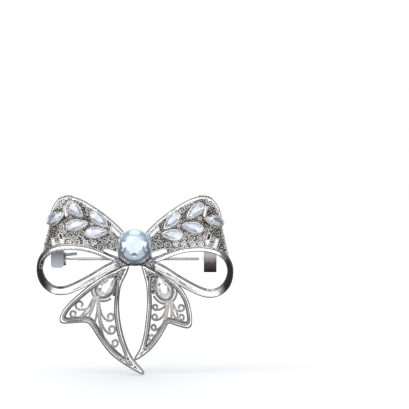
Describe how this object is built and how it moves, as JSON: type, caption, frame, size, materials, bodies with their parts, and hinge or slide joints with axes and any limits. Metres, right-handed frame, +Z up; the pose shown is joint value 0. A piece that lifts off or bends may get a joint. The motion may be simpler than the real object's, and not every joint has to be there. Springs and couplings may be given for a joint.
{
  "type": "bow brooch",
  "caption": "Silver-coloured filigree bow brooch with a pearl knot, pear-cut clear stones, and a hinged pin closed by a rotating safety catch.",
  "frame": {"origin": "on the pin's axis, behind the middle of the pearl", "axes": "+X to the right as seen from the front, -Y out of the front, +Z up; the pin lies along X with its point on -X"},
  "size_m": [0.0541, 0.0174, 0.0496],
  "materials": {
    "polished_strip": "bright plated, mirror polished",
    "filigree": "bright plated beaded wire with darkened recesses",
    "setting": "bright plated, beaded edge",
    "stone": "clear faceted pear cut, high sparkle",
    "pearl": "grey-blue pearl lustre",
    "findings": "satin plated sheet",
    "pin": "drawn polished pin wire"
  },
  "bodies": {
    "bow": {"left_upper_ring": "polished_strip", "right_upper_ring": "polished_strip", "left_lower_ring": "polished_strip", "right_lower_ring": "polished_strip", "left_filigree_panel": "filigree", "right_filigree_panel": "filigree", "left_tail_frame": "polished_strip", "right_tail_frame": "polished_strip", "left_tail_filigree": "filigree", "right_tail_filigree": "filigree", "knot_plate": "polished_strip", "pearl_cup": "setting", "pearl_post": "setting", "pearl": "pearl", "left_setting_1": "setting", "left_setting_2": "setting", "left_setting_3": "setting", "left_setting_4": "setting", "left_setting_5": "setting", "right_setting_1": "setting", "right_setting_2": "setting", "right_setting_3": "setting", "right_setting_4": "setting", "right_setting_5": "setting", "left_tail_setting": "setting", "right_tail_setting": "setting", "left_stone_1": "stone", "left_stone_2": "stone", "left_stone_3": "stone", "left_stone_4": "stone", "left_stone_5": "stone", "right_stone_1": "stone", "right_stone_2": "stone", "right_stone_3": "stone", "right_stone_4": "stone", "right_stone_5": "stone", "left_tail_stone": "stone", "right_tail_stone": "stone", "hinge_bracket": "findings", "hinge_rivet": "findings", "catch_bracket": "findings"},
    "pin": {"pin_stem": "pin"},
    "lock": {"catch_lock": "findings"}
  },
  "joints": [
    {"name": "pin_hinge", "type": "hinge", "parent": "bow", "child": "pin", "pos_m": [0.0207, 0, 0], "axis": [0, 0, -1], "range_deg": [0, 75]},
    {"name": "catch_lock_turn", "type": "hinge", "parent": "bow", "child": "lock", "pos_m": [-0.0213, 0, 0], "axis": [-1, 0, 0], "range_deg": [0, 100]}
  ]
}
